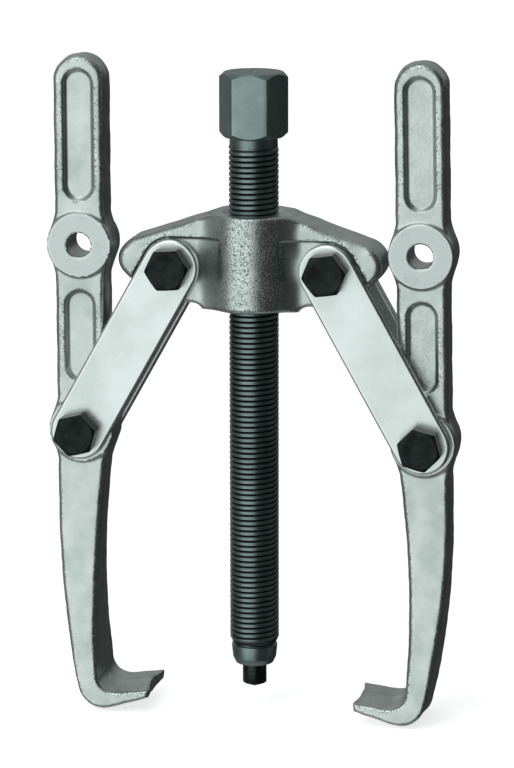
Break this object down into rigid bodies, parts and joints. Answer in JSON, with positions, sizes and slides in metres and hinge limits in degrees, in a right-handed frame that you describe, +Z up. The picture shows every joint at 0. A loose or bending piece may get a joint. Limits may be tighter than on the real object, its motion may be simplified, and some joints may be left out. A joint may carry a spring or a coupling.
{
  "type": "gear puller",
  "caption": "Gear puller with a forged crosshead on a long forcing screw, and strap links that carry clawed arms swinging in and out.",
  "frame": {"origin": "on the spindle's axis, where the cylinder of its tip pin meets the point", "axes": "+Z up the spindle towards its hex head, +X towards the right arm seen from the front, -Y to the front where the bolt heads are"},
  "size_m": [0.1164, 0.0294, 0.1873],
  "materials": {
    "forged_zinc": "zinc plated forging, satin with grainy texture",
    "strap_zinc": "zinc plated rolled strip, smooth satin",
    "phosphate_steel": "dark phosphate, oiled",
    "black_oxide": "black oxide, semi-gloss",
    "hardened_pin": "hardened, dark with a bright point",
    "nylon": "natural nylon"
  },
  "bodies": {
    "crosshead": {"crosshead": "forged_zinc"},
    "tip": {"tip_pin": "hardened_pin"},
    "spindle": {"spindle": "phosphate_steel"},
    "left_link": {"strap_left_front": "strap_zinc", "strap_left_rear": "strap_zinc", "bolt_upper_left": "black_oxide", "nut_upper_left": "black_oxide", "lock_ring_upper_left": "nylon", "bolt_lower_left": "black_oxide", "nut_lower_left": "black_oxide", "lock_ring_lower_left": "nylon"},
    "left_arm": {"arm_left": "forged_zinc"},
    "right_link": {"strap_right_front": "strap_zinc", "strap_right_rear": "strap_zinc", "bolt_upper_right": "black_oxide", "nut_upper_right": "black_oxide", "lock_ring_upper_right": "nylon", "bolt_lower_right": "black_oxide", "nut_lower_right": "black_oxide", "lock_ring_lower_right": "nylon"},
    "right_arm": {"arm_right": "forged_zinc"}
  },
  "joints": [
    {"name": "left_link_swing", "type": "hinge", "parent": "crosshead", "child": "left_link", "pos_m": [-0.02215, 0, 0.121], "axis": [0, -1, 0], "range_deg": [-2.5, 5]},
    {"name": "left_arm_swing", "type": "hinge", "parent": "left_link", "child": "left_arm", "pos_m": [-0.04898, 0, 0.07299], "axis": [0, -1, 0], "range_deg": [-1.5, 6.8]},
    {"name": "right_link_swing", "type": "hinge", "parent": "crosshead", "child": "right_link", "pos_m": [0.02215, 0, 0.121], "axis": [0, 1, 0], "range_deg": [-2.5, 5]},
    {"name": "right_arm_swing", "type": "hinge", "parent": "right_link", "child": "right_arm", "pos_m": [0.04898, 0, 0.07299], "axis": [0, 1, 0], "range_deg": [-0.6, 8]},
    {"name": "spindle_travel", "type": "slide", "parent": "crosshead", "child": "tip", "axis": [0, 0, -1], "range_m": [-0.09, 0.0195]},
    {"name": "spindle_turn", "type": "hinge", "parent": "tip", "child": "spindle", "pos_m": [0, 0, 0], "axis": [0, 0, -1], "range_deg": [-21610, 4690]}
  ],
  "couplings": [
    {"joint": "spindle_turn", "follows": "spindle_travel", "rad_per_m": 4188.8}
  ]
}
